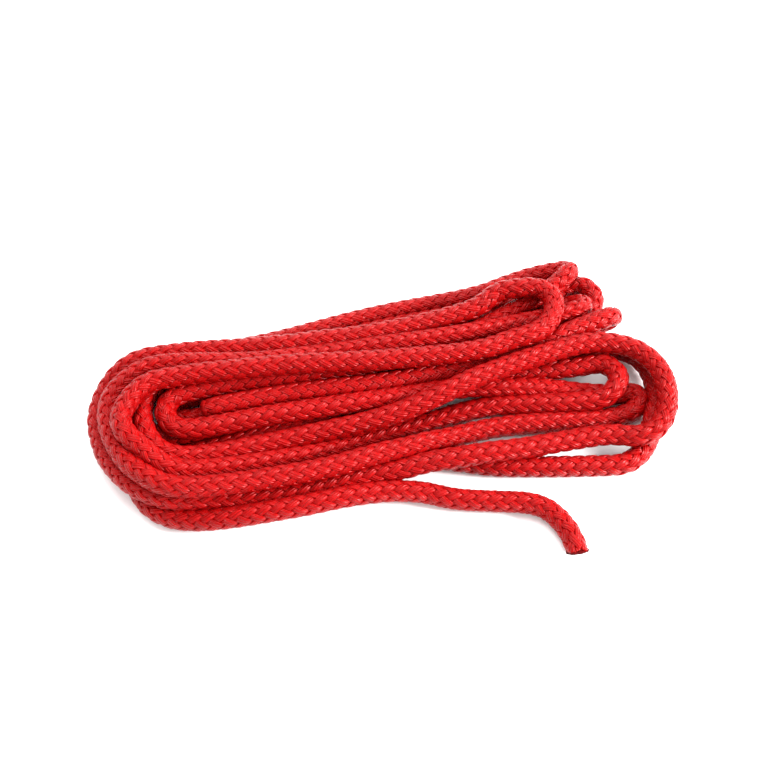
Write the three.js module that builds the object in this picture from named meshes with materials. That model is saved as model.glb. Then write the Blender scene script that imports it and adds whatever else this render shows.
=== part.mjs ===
// Coiled dock line: one length of braided rope, folded back and forth into a flat, long hank.
// Millimetres, +Z up. The hank lies along X on the plane Z = 0, with the origin under its middle.
// The outer end of the rope runs free from the front of the hank as a short tail.

import * as THREE from 'three';

// Driving dimensions
const ROPE_DIAMETER = 10;
const HANK_HEIGHT = 31;
const GAP = 0.3; // left between solids that touch on the real rope

// The hank's outline goes round three round ends, in turn from the left and through the front.
const LEFT_END = { x: -87, y: 10, radius: 52 };
const FRONT_END = { x: 89, y: 8, radius: 50 };
const BACK_END = { x: 104, y: 62, radius: 19 };
const FRONT_SIDE = LEFT_END.y - LEFT_END.radius;
const ARC_SEGMENTS = 32;

// The middle of the tail, from where it leaves the hank to its cut end.
const TAIL_ROUTE = [
  [16, -39.2, 5],
  [21, -41.2, 5],
  [26.5, -43.3, 5],
  [32, -45, 5],
  [37, -46.1, 5],
  [42.5, -47.1, 5],
  [48, -48.2, 5],
  [54, -49.2, 5],
  [60, -50.4, 5],
  [66, -52.6, 5],
  [70.5, -55.7, 5],
  [74, -60.5, 5],
  [76.5, -65.4, 5],
  [78, -70.8, 5.1],
  [78.5, -76.75, 5.3],
];
const TAIL_STEPS = 14;
const TAIL_SIDES = 12;

// The tail leaves through a notch in the hank's front side.
const TAIL_START_LEAN = 2; // the tail's first face is at an angle, and one side lies this far back
const NOTCH_MOUTH = TAIL_ROUTE[0][0] - TAIL_START_LEAN - GAP;
const NOTCH_WALL = TAIL_ROUTE[0][1] + ROPE_DIAMETER / 2 + GAP;
const NOTCH_BEND = 24; // where the wall starts to run out towards the front side, in X
const NOTCH_RUNOUT = 46;

// Both ends of the rope are melted into a short hard bead, so that they can't fray.
const SEAL_RADIUS = 5.2;
const SEAL_LENGTH = 3;
const SEAL_RIM = 0.8; // how much the bead's edges are rounded
const SEAL_SEGMENTS = 24;

// The inner end lies in the eye of the innermost bight and points to the left.
const INNER_END = new THREE.Vector3(-81, 13.8, 15);
const EYE_LENGTH = 13;
const EYE_HALF_WIDTH = SEAL_RADIUS + GAP;

const ROPE_LOOK = { color: 0xcf1a20, roughness: 0.5, metalness: 0 };
const SEAL_LOOK = { color: 0x9c1418, roughness: 0.35, metalness: 0 };
const ropeMaterial = () => new THREE.MeshStandardMaterial(ROPE_LOOK);
const sealMaterial = () => new THREE.MeshStandardMaterial(SEAL_LOOK);

// The angle of the outward normal on the straight side that joins one round end to the next.
function sideNormal(from, to) {
  const dx = to.x - from.x;
  const dy = to.y - from.y;
  return Math.atan2(dy, dx) - Math.acos((from.radius - to.radius) / Math.hypot(dx, dy));
}

function addRoundEnd(outline, before, end, after) {
  const start = sideNormal(before, end);
  const turn = THREE.MathUtils.euclideanModulo(sideNormal(end, after) - start, 2 * Math.PI);
  outline.absarc(end.x, end.y, end.radius, start, start + turn, false);
}

function innerEye() {
  const wall = INNER_END.x - GAP;
  const roundEnd = wall - EYE_LENGTH + EYE_HALF_WIDTH;
  const eye = new THREE.Path();
  eye.moveTo(wall, INNER_END.y - EYE_HALF_WIDTH);
  eye.lineTo(wall, INNER_END.y + EYE_HALF_WIDTH);
  eye.absarc(roundEnd, INNER_END.y, EYE_HALF_WIDTH, Math.PI / 2, 1.5 * Math.PI, false);
  return eye;
}

// The folded turns as one body: their outer shape, the tail's notch and the eye round the inner end.
function hank() {
  const outline = new THREE.Shape();
  addRoundEnd(outline, BACK_END, LEFT_END, FRONT_END);
  outline.lineTo(NOTCH_MOUTH, FRONT_SIDE);
  outline.lineTo(NOTCH_MOUTH, NOTCH_WALL);
  outline.lineTo(NOTCH_BEND, NOTCH_WALL);
  outline.lineTo(NOTCH_RUNOUT, FRONT_SIDE);
  addRoundEnd(outline, LEFT_END, FRONT_END, BACK_END);
  addRoundEnd(outline, FRONT_END, BACK_END, LEFT_END);
  outline.holes.push(innerEye());
  const geometry = new THREE.ExtrudeGeometry(outline, {
    depth: HANK_HEIGHT,
    bevelEnabled: false,
    curveSegments: ARC_SEGMENTS,
  });
  return new THREE.Mesh(geometry, ropeMaterial());
}

function tail(route) {
  const section = new THREE.Shape();
  section.absarc(0, 0, ROPE_DIAMETER / 2, 0, 2 * Math.PI, false);
  const geometry = new THREE.ExtrudeGeometry(section, {
    steps: TAIL_STEPS,
    curveSegments: TAIL_SIDES,
    bevelEnabled: false,
    extrudePath: route,
  });
  return new THREE.Mesh(geometry, ropeMaterial());
}

// A round bead that starts at one point and reaches out along a direction.
function endSeal(start, direction) {
  const profile = [
    new THREE.Vector2(0, 0),
    new THREE.Vector2(SEAL_RADIUS - SEAL_RIM, 0),
    new THREE.Vector2(SEAL_RADIUS, SEAL_RIM),
    new THREE.Vector2(SEAL_RADIUS, SEAL_LENGTH - SEAL_RIM),
    new THREE.Vector2(SEAL_RADIUS - SEAL_RIM, SEAL_LENGTH),
    new THREE.Vector2(0, SEAL_LENGTH),
  ];
  const mesh = new THREE.Mesh(new THREE.LatheGeometry(profile, SEAL_SEGMENTS), sealMaterial());
  mesh.quaternion.setFromUnitVectors(new THREE.Vector3(0, 1, 0), direction);
  mesh.position.copy(start);
  return mesh;
}

function named(mesh, name) {
  mesh.name = name;
  return mesh;
}

const tailCurve = new THREE.CatmullRomCurve3(TAIL_ROUTE.map((point) => new THREE.Vector3(...point)));
const tailDirection = tailCurve.getTangent(1);
const outerEnd = tailCurve.getPoint(1).addScaledVector(tailDirection, GAP);
const innerDirection = new THREE.Vector3(-1, 0, 0);
const innerStart = INNER_END.clone().addScaledVector(innerDirection, 2 * GAP);

const dockLine = new THREE.Group();
dockLine.name = 'coiled_dock_line';
dockLine.add(named(hank(), 'rope_hank'));
dockLine.add(named(tail(tailCurve), 'rope_tail'));
dockLine.add(named(endSeal(outerEnd, tailDirection), 'outer_end_seal'));
dockLine.add(named(endSeal(innerStart, innerDirection), 'inner_end_seal'));

export default dockLine;
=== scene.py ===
"""Coiled dock line: one length of red braided rope, folded back and forth into a flat, long hank.

Millimetres are used until a mesh is made. The hank lies along X on the floor, Z = 0. Its runs and
folds are drawn as waypoints and then settle: the rope keeps its length, doesn't pass through itself
and sinks until something carries it. The braid is laid round the settled line, strand by strand.
"""

import math

import bpy
import numpy as np
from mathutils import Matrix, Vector

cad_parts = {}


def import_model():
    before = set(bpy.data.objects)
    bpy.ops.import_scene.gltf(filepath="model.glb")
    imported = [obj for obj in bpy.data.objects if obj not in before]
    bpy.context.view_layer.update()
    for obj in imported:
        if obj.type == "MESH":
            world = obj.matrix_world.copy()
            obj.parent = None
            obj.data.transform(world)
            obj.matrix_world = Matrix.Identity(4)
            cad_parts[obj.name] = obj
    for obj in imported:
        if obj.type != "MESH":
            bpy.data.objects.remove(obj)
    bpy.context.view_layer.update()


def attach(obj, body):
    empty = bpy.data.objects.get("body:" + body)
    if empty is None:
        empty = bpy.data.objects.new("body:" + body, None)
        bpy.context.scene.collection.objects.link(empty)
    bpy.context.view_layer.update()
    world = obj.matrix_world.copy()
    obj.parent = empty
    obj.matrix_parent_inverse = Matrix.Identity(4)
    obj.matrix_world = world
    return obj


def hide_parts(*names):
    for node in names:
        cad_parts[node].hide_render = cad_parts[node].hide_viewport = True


MM = 0.001

# Rope
ROPE_DIAMETER = 10.0
ROPE_RADIUS = ROPE_DIAMETER / 2
STRANDS_EACH_WAY = 8
LAY = 50.0  # the length of rope in which a strand goes once round
CROSSINGS_PER_LAY = 2 * STRANDS_EACH_WAY
SAMPLES_PER_CROSSING = 3
STRAND_SIDES = 12
YARNS_PER_STRAND = 3
STRAND_SHOULDER = 0.55  # below 1 the section is flatter and has fuller shoulders than an ellipse
STRAND_HALF_WIDTH = (1.38, 1.64)  # where it is under the others, and over them
STRAND_HALF_THICKNESS = (0.55, 0.85)
BRAID_RADIUS = 3.52  # the middle of a strand's way in and out
BRAID_SWING = 0.76
FLOAT_FLATNESS = 1.2  # the higher, the longer a strand stays fully over or fully under
CORE_RADIUS = 2.9
CORE_SIDES = 12
SMOOTHING = (0.5, -0.52, 0.5, -0.52)  # each pass inwards is made up for by one outwards

# Melted ends
SLANT = 0.62  # how far the outer cut leans forward for its height
SLANT_REACH = 8.0  # how much of the rope leans with it
TAPER = 0.22  # how much slimmer the rope is at its inner cut
TAPER_REACH = 8.0  # how much of the rope gets slimmer
SEAL_RADIUS = 5.2
SEAL_SIDES = 64
STRAND_LUMPS = 0.04  # of the radius, where each strand runs into the bead
WIDE_LUMPS = 0.025
SEAL_PROFILE = (  # from inside the rope to the face's middle: reach past the cut, share of the radius
    (-0.9, 0.70), (-0.5, 0.86), (0.0, 0.95), (0.4, 0.99), (0.8, 0.98),
    (1.0, 0.90), (0.95, 0.72), (0.8, 0.5), (0.7, 0.3), (0.65, 0.1),
)
ROUNDED_PROFILE = (  # the inner end's, which is a blunt tip and not a flat face
    (-0.9, 0.62), (-0.4, 0.75), (0.2, 0.79), (0.9, 0.75), (1.5, 0.65),
    (2.0, 0.50), (2.3, 0.33), (2.45, 0.1),
)

# Colours, as linear red, green and blue: the darker and the lighter shade of each
BRAID_SHADES = ((0.256, 0.0008, 0.0010), (0.306, 0.0016, 0.0018))
# The core is painted darker than the braid: painted shade for the gaps between the strands, where it
# shows through.
CORE_PAINTED_SHADE = ((0.08, 0.001, 0.002), (0.15, 0.002, 0.003))
SCORCHED_SHADES = ((0.017, 0.0008, 0.0010), (0.105, 0.0010, 0.0012))
# The inner bead's red is partly the fused yarn's own colour and partly painted shade: it is darker than
# the braid because that end lies in shadow.
FUSED_RED_AND_PAINTED_SHADE = ((0.120, 0.0008, 0.0010), (0.230, 0.0012, 0.0014))

# Where the rope starts, in the eye of the innermost fold
INNER_END = (-81, 13.8, 15)

# Camera
CAMERA_AT = np.array((-29.4, -226.9, 407.1))
CAMERA_AIM = np.array((6.0, 25.0, 0.0))
LENS = 45.0
SENSOR = 36.0

# Light
WORLD_STRENGTH = 1.45
DISK_LIGHTS = (  # name, place and diameter in metres, watts
    ("top", (0.10, 0.50, 1.0), 1.3, 20.0),
    ("right", (1.05, -0.35, 0.50), 0.28, 34.0),
)
FLOOR_HALF = 4.0  # metres

# The hank's runs, in the rope's order from its inner end. A run goes right (+1) or left (-1) past the
# stations, with a place across and a height at each. A firm run keeps its place while the pile
# settles, and a loose one gives way.
STATIONS = (-94, -44, 6, 56, 106)
RIGHT, LEFT = 1, -1
FIRM, LOOSE = 1.0, 0.1
RUNS = (
    (RIGHT, FIRM, ((13.8, 15), (16.5, 15), (16, 16), (20, 16), (34, 17))),
    (LEFT, FIRM, ((23, 15), (30.3, 12), (32.8, 8), (32, 8), (38, 7))),
    (RIGHT, FIRM, ((5, 15), (6.9, 14), (11, 9), (13.5, 6), (1.5, 6))),
    (LEFT, FIRM, ((-28, 19), (-28, 18), (-20.5, 12), (-11, 7), (-14, 8))),
    (RIGHT, FIRM, ((40, 16), (35, 16), (37, 15), (40, 15), (45, 15))),
    (LEFT, FIRM, ((34, 12), (38, 9), (44, 7), (52, 6), (54, 6))),
    (RIGHT, FIRM, ((-9.5, 14), (-8.5, 15), (-4.4, 20), (9.6, 25), (19.2, 25))),
    (LEFT, FIRM, ((-31, 11), (-34, 11), (-27.5, 12), (-26.8, 12), (-26, 14))),
    (RIGHT, FIRM, ((49, 13), (47, 12), (45.5, 16), (51, 20), None)),
    (LEFT, FIRM, ((28.5, 23), (28, 23), (24.5, 23), (23.5, 23), None)),
    (RIGHT, FIRM, ((-19.5, 20), (-18, 16), (-10, 13), (-1.5, 12), (-7, 15))),
    (LEFT, FIRM, ((-5, 5), (3, 6), (11.5, 7), (13, 14), (12, 16))),
    (RIGHT, FIRM, ((-22, 5), (-25, 5), (-19.5, 5), (-31, 5), (-38, 6))),
    (LEFT, LOOSE, ((5, 5), (11, 5), (21, 5), (24, 5), (27, 5))),
    (RIGHT, LOOSE, ((36, 5), (41, 5), (50, 5), (55, 5), (67, 6))),
    (LEFT, LOOSE, ((15, 5), (21, 5), (31, 5), (36, 5), (46, 5))),
    (RIGHT, LOOSE, ((26, 5), (31, 5), (41, 5), (46, 8), (67, 14))),
    (LEFT, FIRM, ((49, 5), (51.5, 5), (59.5, 5), (64.5, 5), None)),
    (RIGHT, FIRM, ((-36, 5), (-37, 5), None, None, None)),
)

# The folds between one run and the next, in the same order.
FOLDS = (
    ((117, 37, 17), (124, 40, 15), (125, 41, 11), (118, 41, 7)),
    ((-98, 20, 15), (-100, 14.5, 15), (-98, 9.5, 15)),
    ((118, -2, 8), (126, -2, 8), (127, -8, 8), (118, -13, 8)),
    (
        (-107, -22, 18), (-118, -9, 17), (-126, 10, 16),
        (-125, 25, 16), (-117, 35, 16), (-107, 40.5, 16),
    ),
    ((109, 46, 15), (112, 48, 13), (112, 51, 8), (108, 53, 6)),
    ((-103.3, 31, 14), (-108.5, 25, 15), (-110.5, 17, 16), (-109, 5, 16), (-103.3, -5, 15)),
    (
        (120, 16, 25), (128, 11, 25), (134, 1, 25), (135, -8, 25),
        (134, -17, 23), (130, -25, 20), (124, -29.5, 18), (116, -29.5, 16),
    ),
    (
        (-108, -25, 10), (-119, -14, 9), (-129, 3, 8),
        (-133, 19, 8), (-128.5, 35, 9), (-116, 46.5, 12),
    ),
    (
        (69, 57, 23), (79, 56, 25), (88, 55, 25), (94, 48, 25),
        (92, 39, 25), (87, 32, 24), (79, 28, 24), (69, 27, 23),
    ),
    (
        (-106, 26, 24), (-114, 19, 24), (-118.5, 10, 24),
        (-118.5, 1.5, 24), (-113.5, -7, 23), (-105, -14, 22),
    ),
    ((113, -4, 17), (117, 2, 18), (115, 8, 17), (111, 12, 17)),
    ((-101, -7, 5), (-105, -13.5, 5), (-101, -20, 5)),
    (
        (111, -38, 6), (119, -33, 7), (124, -26, 8), (128, -16, 9),
        (132, -5, 9), (134.5, 8, 9), (131, 20, 8), (121, 27, 6),
    ),
    ((-107, 7, 5), (-114, 18, 5), (-106, 33, 5)),
    ((111, 68.5, 6), (117.5, 66, 7), (120.5, 60, 7), (118, 53, 6)),
    ((-96, 17, 5), (-99, 20.5, 5), (-96, 24, 5)),
    ((107, 69, 15), (111, 71, 13), (108, 73.5, 11), (100, 74.5, 9), (90, 75, 6), (76, 71.5, 5)),
    (
        (-108, 47, 5), (-118, 39, 5), (-124, 22, 5),
        (-124, 3, 5), (-119, -13, 5), (-108, -29, 5),
    ),
)

# The free end, from where it leaves the hank to its cut.
TAIL_LEAD = ((-18, -35, 5), (1, -36, 5))
TAIL_ROUTE = (
    (16, -39.2, 5),
    (21, -41.2, 5),
    (26.5, -43.3, 5),
    (32, -45, 5),
    (37, -46.1, 5),
    (42.5, -47.1, 5),
    (48, -48.2, 5),
    (54, -49.2, 5),
    (60, -50.4, 5),
    (66, -52.6, 5),
    (70.5, -55.7, 5),
    (74, -60.5, 5),
    (76.5, -65.4, 5),
    (78, -70.8, 5.1),
    (78.5, -76.75, 5.3),
)

# Settling
CONTACT = 9.2  # how close the middles of two turns come, as a pressed braid gives a little
NEIGHBOUR_REACH = 1.7 * CONTACT  # points closer than this along the rope don't count as touching
SPACING = 4.0  # between points on the line
COARSE_STEP = 1.0  # along the curve through the waypoints
FINE_STEP = 0.5  # along the curve that the braid follows
PUSH_PASSES = 2
PUSH_EXCESS = 1.3  # above 1 so that a push takes effect in fewer steps
LENGTH_PASSES = 4
SETTLE_STEPS = 600
GRAVITY_STEP = 0.12
EASED_GRAVITY_STEP = 0.02  # near the end, so that touching turns come fully apart
EASED_FROM = 0.85  # of all the steps
STIFFNESS = 0.12
HOLD = 0.15
SEARCH_EVERY = 12  # steps between searches for points that may touch
SEARCH_MARGIN = 5.0


# ---------------------------------------------------------------- the rope's line


def waypoints():
    """The drawn line's points, and how firmly each is held."""
    points, firmness = [], []
    for number, (direction, firm, places) in enumerate(RUNS):
        run = [(x, *place) for x, place in zip(STATIONS, places) if place is not None]
        points += run[::direction]
        firmness += [firm] * len(run)
        if number < len(FOLDS):
            points += FOLDS[number]
            firmness += [min(firm, RUNS[number + 1][1])] * len(FOLDS[number])
    points[0] = INNER_END
    for way_out in (TAIL_LEAD, TAIL_ROUTE):
        points += way_out
        firmness += [FIRM] * len(way_out)
    return np.array(points, float), np.array(firmness)


def catmull_rom(points, step):
    """A smooth curve through the points, with each of its points' place along the list of waypoints."""
    ends = np.vstack([2 * points[0] - points[1], points, 2 * points[-1] - points[-2]])
    curve, places = [], []
    for i in range(1, len(ends) - 2):
        p0, p1, p2, p3 = ends[i - 1 : i + 3]
        t1 = math.sqrt(np.linalg.norm(p1 - p0))
        t2 = t1 + math.sqrt(np.linalg.norm(p2 - p1))
        t3 = t2 + math.sqrt(np.linalg.norm(p3 - p2))
        count = max(2, int(np.linalg.norm(p2 - p1) / step))
        t = np.linspace(t1, t2, count, endpoint=False)[:, None]
        a1 = (t1 - t) / t1 * p0 + t / t1 * p1
        a2 = (t2 - t) / (t2 - t1) * p1 + (t - t1) / (t2 - t1) * p2
        a3 = (t3 - t) / (t3 - t2) * p2 + (t - t2) / (t3 - t2) * p3
        b1 = (t2 - t) / t2 * a1 + t / t2 * a2
        b2 = (t3 - t) / (t3 - t1) * a2 + (t - t1) / (t3 - t1) * a3
        curve.append((t2 - t) / (t2 - t1) * b1 + (t - t1) / (t2 - t1) * b2)
        places.append(np.linspace(i - 1, i, count, endpoint=False))
    curve.append(points[-1:])
    places.append([len(points) - 1.0])
    return np.vstack(curve), np.concatenate(places)


def distance_along(points):
    """Each point's distance from the first, along the line."""
    return np.concatenate([[0.0], np.cumsum(np.linalg.norm(np.diff(points, axis=0), axis=1))])


def resample(points, spacing, values=None):
    """The same line with evenly spaced points, and a value carried along with them."""
    along = distance_along(points)
    even = np.linspace(0, along[-1], round(along[-1] / spacing) + 1)
    line = np.stack([np.interp(even, along, points[:, axis]) for axis in range(3)], axis=1)
    return line if values is None else (line, np.interp(even, along, values))


def lines_of_sight(points):
    """The directions from the camera to the points."""
    rays = points - CAMERA_AT
    return rays / np.linalg.norm(rays, axis=1)[:, None]


def push_apart(points, first, second):
    """Points of different turns that are closer than CONTACT move apart."""
    offset = points[first] - points[second]
    distance = np.linalg.norm(offset, axis=1)
    touching = distance < CONTACT
    if not touching.any():
        return
    a, b = first[touching], second[touching]
    reach = distance[touching][:, None]
    push = 0.5 * (CONTACT - reach) * offset[touching] / np.maximum(reach, 1e-6)
    count = len(points)
    share = np.maximum(1, np.bincount(a, minlength=count) + np.bincount(b, minlength=count))
    for axis in range(3):
        moved = np.bincount(a, push[:, axis], count) - np.bincount(b, push[:, axis], count)
        points[:, axis] += PUSH_EXCESS * moved / share


def keep_length(points, spacing):
    """Each point and the next go back to their distance, in two sets of pairs in turn."""
    for _ in range(LENGTH_PASSES):
        for start in (0, 1):
            count = (len(points) - start) // 2
            near = points[start : start + 2 * count : 2]
            far = points[start + 1 : start + 2 * count : 2]
            offset = far - near
            length = np.linalg.norm(offset, axis=1)[:, None]
            change = 0.5 * (length - spacing) / length * offset
            near += change
            far -= change


def spread_bends(moved):
    """A push on one point carries its neighbours along, as far as the rope is stiff."""
    for reach in (1, 2, 4):
        middle = 0.5 * (moved[: -2 * reach] + moved[2 * reach :])
        moved[reach:-reach] += STIFFNESS * (middle - moved[reach:-reach])


def settle(drawn, firmness, fixed, steps):
    """The drawn line after it has sunk onto the floor and onto itself.

    A held point stays on its line of sight.
    """
    points = drawn.copy()
    spacing = np.linalg.norm(np.diff(drawn, axis=0), axis=1).mean()
    rays = lines_of_sight(drawn)
    skip = math.ceil(NEIGHBOUR_REACH / spacing)
    first_all, second_all = np.triu_indices(len(points), skip)
    for step in range(steps):
        if step % SEARCH_EVERY == 0:
            distance = np.linalg.norm(points[first_all] - points[second_all], axis=1)
            near = distance < CONTACT + SEARCH_MARGIN
            first, second = first_all[near], second_all[near]
        points[:, 2] -= GRAVITY_STEP if step < EASED_FROM * steps else EASED_GRAVITY_STEP
        away = drawn - points
        away -= (away * rays).sum(axis=1)[:, None] * rays
        points += HOLD * firmness[:, None] * away
        moved = points - drawn
        spread_bends(moved)
        points = drawn + moved
        for _ in range(PUSH_PASSES):
            push_apart(points, first, second)
            points[:, 2] = np.maximum(points[:, 2], ROPE_RADIUS)
        keep_length(points, spacing)
        points[fixed] = drawn[fixed]
    return points


def rope_line():
    """The settled line of the rope, from its inner end to its cut end."""
    points, firmness = waypoints()
    curve, places = catmull_rom(points, COARSE_STEP)
    firm = np.interp(places, np.arange(len(points)), firmness)
    drawn, firm = resample(curve, SPACING, firm)
    tail_length = distance_along(np.array(TAIL_ROUTE, float))[-1]
    along = distance_along(drawn)
    fixed = along > along[-1] - tail_length
    return settle(drawn, firm, fixed, SETTLE_STEPS)


def carried_frames(points):
    """Tangents, and two directions across the line that never twist about it."""
    tangents = np.gradient(points, axis=0)
    tangents /= np.linalg.norm(tangents, axis=1)[:, None]
    sides = np.empty_like(points)
    side = np.cross(tangents[0], (0.0, 0.0, 1.0))
    for i, tangent in enumerate(tangents):
        side = side - side.dot(tangent) * tangent
        side /= np.linalg.norm(side)
        sides[i] = side
    return tangents, sides, np.cross(tangents, sides)


# ---------------------------------------------------------------- meshes


def tube_faces(rings, sides):
    """Quads of a tube of rings, and the two caps that close it."""
    ring = np.arange(rings - 1)[:, None] * sides
    side = np.arange(sides)[None, :]
    after = (side + 1) % sides
    corners = [ring + side, ring + after, ring + sides + after, ring + sides + side]
    quads = np.stack(corners, axis=-1).reshape(-1, 4)
    caps = [np.arange(sides)[::-1], (rings - 1) * sides + np.arange(sides)]
    return quads, caps


def mesh_object(name, vertices, quads, caps, material):
    """A smooth-shaded object: vertices in millimetres, quads, and a list of larger faces."""
    corners = np.concatenate([quads.ravel(), *caps])
    sizes = np.concatenate([np.full(len(quads), 4), [len(cap) for cap in caps]])
    starts = np.concatenate([[0], np.cumsum(sizes)[:-1]])
    mesh = bpy.data.meshes.new(name)
    mesh.vertices.add(len(vertices))
    mesh.vertices.foreach_set("co", (vertices * MM).astype(np.float32).ravel())
    mesh.loops.add(len(corners))
    mesh.loops.foreach_set("vertex_index", corners.astype(np.int32))
    mesh.polygons.add(len(sizes))
    mesh.polygons.foreach_set("loop_start", starts.astype(np.int32))
    mesh.polygons.foreach_set("loop_total", sizes.astype(np.int32))
    mesh.polygons.foreach_set("use_smooth", np.ones(len(sizes), bool))
    mesh.update(calc_edges=True)
    mesh.materials.append(material)
    made = bpy.data.objects.new(name, mesh)
    bpy.context.collection.objects.link(made)
    return made


def add_point_values(made, name, values):
    """Three numbers on each vertex, for the material to read."""
    attribute = made.data.attributes.new(name, "FLOAT_VECTOR", "POINT")
    attribute.data.foreach_set("vector", values.astype(np.float32).ravel())


def strand_height(crossings, strand, way):
    """How far out a strand lies, from -1 under the others to 1 over them: over two, then under two."""
    # The offsets put a strand of one way under where the strands of the other way are over.
    phase = crossings + 2 * strand - 0.5 if way > 0 else crossings - 2 * strand + 2.5
    return np.tanh(FLOAT_FLATNESS * np.cos(math.pi / 2 * phase)) / math.tanh(FLOAT_FLATNESS)


def full_shoulders(values):
    """Sines or cosines round an ellipse, changed so that its corners fill out."""
    return np.sign(values) * np.abs(values) ** STRAND_SHOULDER


def between(pair, share):
    return pair[0] + (pair[1] - pair[0]) * share


def braided_cover(line, material):
    """Sixteen flat strands, eight each way round, as one object."""
    points = resample(smoothed(line), LAY / CROSSINGS_PER_LAY / SAMPLES_PER_CROSSING)
    along = distance_along(points)
    tangents, sides, ups = carried_frames(points)
    crossings = along / (LAY / CROSSINGS_PER_LAY)
    round_section = np.linspace(0, 2 * math.pi, STRAND_SIDES, endpoint=False)
    section_across = full_shoulders(np.cos(round_section))
    section_out = full_shoulders(np.sin(round_section))
    vertices, values, quads, caps = [], [], [], []
    tube_quads, tube_caps = tube_faces(len(points), STRAND_SIDES)
    for way in (1, -1):
        for strand in range(STRANDS_EACH_WAY):
            number = len(vertices)
            turn = 2 * math.pi * (strand / STRANDS_EACH_WAY + way * along / LAY)
            height = strand_height(crossings, strand, way)
            out = np.cos(turn)[:, None] * sides + np.sin(turn)[:, None] * ups
            middle = points + (BRAID_RADIUS + BRAID_SWING * height)[:, None] * out
            ahead = np.gradient(middle, axis=0)
            ahead /= np.linalg.norm(ahead, axis=1)[:, None]
            across = np.cross(ahead, out)
            across /= np.linalg.norm(across, axis=1)[:, None]
            outward = np.cross(across, ahead)
            share = (height + 1) / 2
            width = between(STRAND_HALF_WIDTH, share)[:, None, None]
            thickness = between(STRAND_HALF_THICKNESS, share)[:, None, None]
            ring = middle[:, None] + width * section_across[None, :, None] * across[:, None]
            ring = ring + thickness * section_out[None, :, None] * outward[:, None]
            offset = number * len(points) * STRAND_SIDES
            vertices.append(ring.reshape(-1, 3))
            value = np.empty((len(points), STRAND_SIDES, 3))
            value[..., 0] = along[:, None]
            value[..., 1] = section_across
            value[..., 2] = number
            values.append(value.reshape(-1, 3))
            quads.append(tube_quads + offset)
            caps += [cap + offset for cap in tube_caps]
    values = np.vstack(values)
    positions = slanted(np.vstack(vertices), line[-1], end_direction(line))
    positions = tapered(positions, values[:, 0], line[0], end_direction(line[::-1]))
    made = mesh_object("braided_cover", on_floor(positions), np.vstack(quads), caps, material)
    add_point_values(made, "yarn", values)
    return made


def smoothed(line):
    """The line without the small kinks that contacts leave in it."""
    line = line.copy()
    for share in SMOOTHING:
        line[1:-1] += share * (0.5 * (line[:-2] + line[2:]) - line[1:-1])
    return catmull_rom(line, FINE_STEP)[0]


def core(line, material):
    """The filler yarns inside the braid, as one soft round bundle."""
    points = resample(smoothed(line), SPACING)
    _, sides, ups = carried_frames(points)
    turn = np.linspace(0, 2 * math.pi, CORE_SIDES, endpoint=False)
    ring = np.cos(turn)[None, :, None] * sides[:, None] + np.sin(turn)[None, :, None] * ups[:, None]
    positions = (points[:, None] + CORE_RADIUS * ring).reshape(-1, 3)
    quads, caps = tube_faces(len(points), CORE_SIDES)
    return mesh_object("core", positions, quads, caps, material)


def slanted(positions, cut, direction):
    """The outer end is cut on a slant: its upper side reaches further than its lower side."""
    back = (cut - positions) @ direction
    near = np.linalg.norm(positions - cut, axis=1) < SLANT_REACH + ROPE_DIAMETER
    share = np.where(near, np.clip(1 - back / SLANT_REACH, 0, 1), 0)
    lean = SLANT * share * (positions[:, 2] - cut[2])
    return positions + lean[:, None] * direction


def tapered(positions, along, cut, direction):
    """The inner end is pinched while it is soft, so the rope gets slimmer towards it."""
    share = np.clip(1 - along / TAPER_REACH, 0, 1)
    offset = positions - cut
    outward = offset - (offset @ direction)[:, None] * direction
    return positions - (TAPER * share**2)[:, None] * outward


def on_floor(positions):
    """What would sink into the floor is pressed flat on it."""
    return np.column_stack((positions[:, :2], np.maximum(positions[:, 2], 0)))


def end_direction(line):
    """Where the line points at its last point."""
    ahead = line[-1] - line[-2]
    return ahead / np.linalg.norm(ahead)


def melted_end(name, line, profile, material, seed, slant=False):
    """A hot-knife cut: the strands' ends run together into a lumpy bead."""
    random = np.random.default_rng(seed)
    at, direction = line[-1], end_direction(line)
    turn = np.linspace(0, 2 * math.pi, SEAL_SIDES, endpoint=False)
    lumps = STRAND_LUMPS * np.cos(STRANDS_EACH_WAY * turn)
    for waves in (2, 3, 5):
        height = WIDE_LUMPS * random.uniform(0.5, 1)
        lumps += height * np.cos(waves * turn + random.uniform(0, 2 * math.pi))
    side = np.cross(direction, (0.0, 0.0, 1.0))
    side /= np.linalg.norm(side)
    up = np.cross(side, direction)
    around = np.cos(turn)[:, None] * side + np.sin(turn)[:, None] * up
    rings = []
    for reach, size in profile:
        radius = SEAL_RADIUS * size * (1 + lumps * min(1, size))
        rings.append(at + reach * direction + radius[:, None] * around)
    quads, caps = tube_faces(len(profile), SEAL_SIDES)
    positions = np.vstack(rings)
    if slant:
        positions = slanted(positions, at, direction)
    return mesh_object(name, on_floor(positions), quads, caps, material)


# ---------------------------------------------------------------- materials


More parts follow.
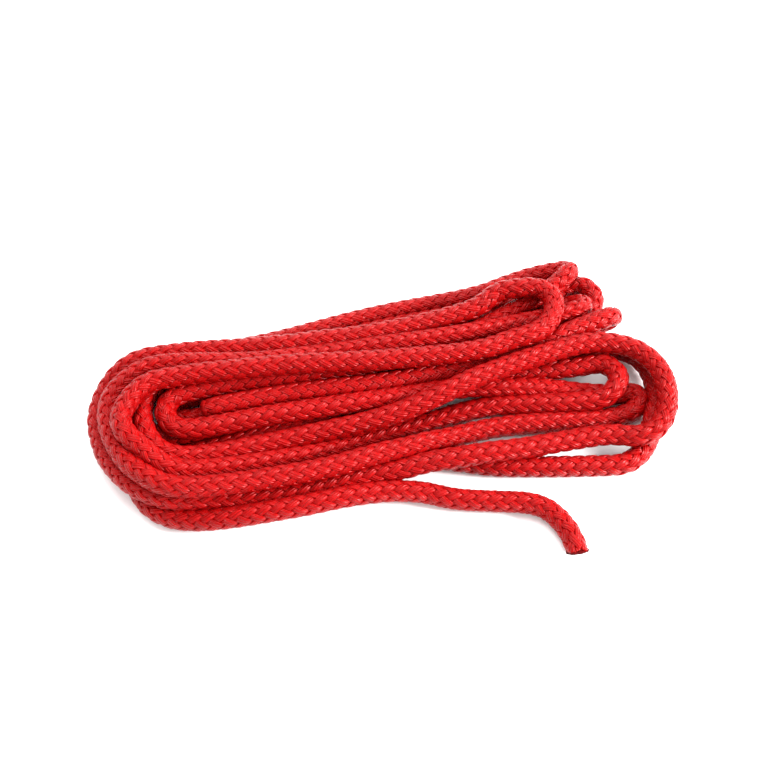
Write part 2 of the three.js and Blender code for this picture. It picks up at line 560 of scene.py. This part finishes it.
class Nodes:
    """A material's nodes, with short ways to add one and to join two."""

    def __init__(self, name):
        self.material = bpy.data.materials.new(name)
        self.material.use_nodes = True
        self.tree = self.material.node_tree
        self.shader = self.tree.nodes["Principled BSDF"]

    def add(self, kind, **inputs):
        node = self.tree.nodes.new(kind)
        for key, value in inputs.items():
            node.inputs[key.replace("_", " ")].default_value = value
        return node

    def join(self, output, target):
        self.tree.links.new(output, target)

    def ramp(self, factor, *stops):
        node = self.add("ShaderNodeValToRGB")
        while len(node.color_ramp.elements) < len(stops):
            node.color_ramp.elements.new(0.5)
        for element, (place, colour) in zip(node.color_ramp.elements, stops):
            element.position = place
            element.color = (*colour, 1)
        self.join(factor, node.inputs["Fac"])
        return node.outputs["Color"]

    def scaled(self, vector, scale):
        node = self.add("ShaderNodeVectorMath")
        node.operation = "MULTIPLY"
        self.join(vector, node.inputs[0])
        node.inputs[1].default_value = scale
        return node.outputs["Vector"]

    def maths(self, operation, first, second=None):
        node = self.add("ShaderNodeMath")
        node.operation = operation
        self.join(first, node.inputs[0])
        if second is not None:
            node.inputs[1].default_value = second
        return node.outputs["Value"]

    def noise(self, vector, scale, detail):
        node = self.add("ShaderNodeTexNoise", Scale=scale, Detail=detail)
        self.join(vector, node.inputs["Vector"])
        return node.outputs["Fac"]

    def mix(self, blend, factor, first, second):
        node = self.add("ShaderNodeMix")
        node.data_type = "RGBA"
        node.blend_type = blend
        node.inputs["Factor"].default_value = factor
        self.join(first, node.inputs["A"])
        self.join(second, node.inputs["B"])
        return node.outputs["Result"]

    def bump(self, height, strength, distance, under=None):
        node = self.add("ShaderNodeBump", Strength=strength, Distance=distance * MM)
        self.join(height, node.inputs["Height"])
        if under is not None:
            self.join(under, node.inputs["Normal"])
        return node.outputs["Normal"]


def braid_material():
    """Satin yarn: fine filaments along each strand, and a slow change of shade along the rope."""
    made = Nodes("braided_polypropylene")
    yarn = made.add("ShaderNodeAttribute")
    yarn.attribute_name = "yarn"
    place = yarn.outputs["Vector"]
    filaments = made.noise(made.scaled(place, (0.12, 5.0, 7.3)), 1.0, 4.0)
    split = made.add("ShaderNodeSeparateXYZ")
    made.join(place, split.inputs["Vector"])
    ribs = made.maths("COSINE", made.maths("MULTIPLY", split.outputs["Y"], math.pi * YARNS_PER_STRAND))
    patches = made.noise(made.scaled(place, (0.03, 0.2, 3.1)), 1.0, 2.0)
    shade = made.ramp(patches, (0.3, BRAID_SHADES[0]), (0.7, BRAID_SHADES[1]))
    streaks = made.ramp(filaments, (0.32, (0.66, 0.55, 0.55)), (0.52, (1.0, 1.0, 1.0)))
    made.join(made.mix("MULTIPLY", 1.0, shade, streaks), made.shader.inputs["Base Color"])
    gloss = made.ramp(filaments, (0.3, (0.37,) * 3), (0.7, (0.25,) * 3))
    made.join(gloss, made.shader.inputs["Roughness"])
    made.join(made.bump(filaments, 0.7, 0.14, made.bump(ribs, 0.7, 0.17)), made.shader.inputs["Normal"])
    made.shader.inputs["Specular IOR Level"].default_value = 0.27
    made.shader.inputs["Specular Tint"].default_value = (1.0, 0.35, 0.35, 1.0)
    made.shader.inputs["Subsurface Weight"].default_value = 0.5
    made.shader.inputs["Subsurface Radius"].default_value = (1.0, 0.1, 0.1)
    made.shader.inputs["Subsurface Scale"].default_value = 1.2 * MM
    return made.material


def core_material():
    made = Nodes("core_yarn_painted_shade")
    place = made.add("ShaderNodeTexCoord").outputs["Object"]
    fibres = made.noise(place, 900.0, 3.0)
    # Painted shade: the core's darker red makes the gaps between the strands look dark.
    shade = made.ramp(fibres, (0.3, CORE_PAINTED_SHADE[0]), (0.7, CORE_PAINTED_SHADE[1]))
    made.join(shade, made.shader.inputs["Base Color"])
    made.join(made.bump(fibres, 0.4, 0.2), made.shader.inputs["Normal"])
    made.shader.inputs["Roughness"].default_value = 0.7
    return made.material


def melted_material(name, dark, light):
    """Fused yarn: glossier, in blotches between a darker and a lighter shade: scorched on the outer
    bead, and on the inner one partly the fused red and partly painted shade.
    """
    made = Nodes(name)
    place = made.add("ShaderNodeTexCoord").outputs["Object"]
    blotches = made.noise(place, 500.0, 4.0)
    grain = made.noise(place, 2500.0, 3.0)
    shade = made.ramp(blotches, (0.35, dark), (0.62, light))
    made.join(shade, made.shader.inputs["Base Color"])
    made.shader.inputs["Specular IOR Level"].default_value = 0.05
    gloss = made.ramp(blotches, (0.3, (0.40,) * 3), (0.7, (0.55,) * 3))
    made.join(gloss, made.shader.inputs["Roughness"])
    made.join(made.bump(grain, 0.3, 0.15, made.bump(blotches, 0.6, 0.5)), made.shader.inputs["Normal"])
    return made.material


def floor_material():
    made = Nodes("studio_floor")
    made.shader.inputs["Base Color"].default_value = (0.90, 0.89, 0.89, 1)
    made.shader.inputs["Roughness"].default_value = 0.7
    place = made.add("ShaderNodeTexCoord").outputs["Object"]
    made.join(made.bump(made.noise(place, 60.0, 3.0), 0.02, 0.2), made.shader.inputs["Normal"])
    return made.material


# ---------------------------------------------------------------- studio


def floor():
    half = FLOOR_HALF
    corners = [(-half, -half, 0), (half, -half, 0), (half, half, 0), (-half, half, 0)]
    mesh = bpy.data.meshes.new("studio_floor")
    mesh.from_pydata(corners, [], [(0, 1, 2, 3)])
    mesh.materials.append(floor_material())
    made = bpy.data.objects.new("studio_floor", mesh)
    bpy.context.collection.objects.link(made)


def aim(made, at, target):
    made.location = Vector(at)
    made.rotation_euler = (Vector(target) - Vector(at)).to_track_quat("-Z", "Y").to_euler()


def soft_light(name, at, size, power):
    data = bpy.data.lights.new(name, "AREA")
    data.shape = "DISK"
    data.size = size
    data.energy = power
    made = bpy.data.objects.new(name, data)
    bpy.context.collection.objects.link(made)
    aim(made, at, (0, 0, 0))


def studio():
    floor()
    world = bpy.data.worlds.new("studio")
    world.use_nodes = True
    world.node_tree.nodes["Background"].inputs["Color"].default_value = (1, 1, 1, 1)
    world.node_tree.nodes["Background"].inputs["Strength"].default_value = WORLD_STRENGTH
    bpy.context.scene.world = world
    for disk in DISK_LIGHTS:
        soft_light(*disk)
    bpy.context.scene.view_settings.view_transform = "Standard"


def camera():
    data = bpy.data.cameras.new("camera")
    data.lens = LENS
    data.sensor_width = SENSOR
    made = bpy.data.objects.new("camera", data)
    bpy.context.collection.objects.link(made)
    aim(made, CAMERA_AT * MM, CAMERA_AIM * MM)
    bpy.context.scene.camera = made


# ---------------------------------------------------------------- the scene


def main():
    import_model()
    camera()
    line = rope_line()
    scorched = melted_material("scorched_polypropylene", *SCORCHED_SHADES)
    # The inner bead's darker red is partly painted shade.
    fused_and_painted_shade = melted_material("fused_polypropylene_painted_shade", *FUSED_RED_AND_PAINTED_SHADE)
    cover = braided_cover(line, braid_material())
    inside = core(line, core_material())
    outer = melted_end("outer_end_bead", line, SEAL_PROFILE, scorched, seed=3, slant=True)
    inner = melted_end("inner_end_bead", line[::-1], ROUNDED_PROFILE, fused_and_painted_shade, seed=8)
    for piece in (cover, inside, outer, inner):
        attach(piece, "root")
    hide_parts("rope_hank", "rope_tail")
    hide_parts("outer_end_seal")
    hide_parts("inner_end_seal")
    studio()


main()
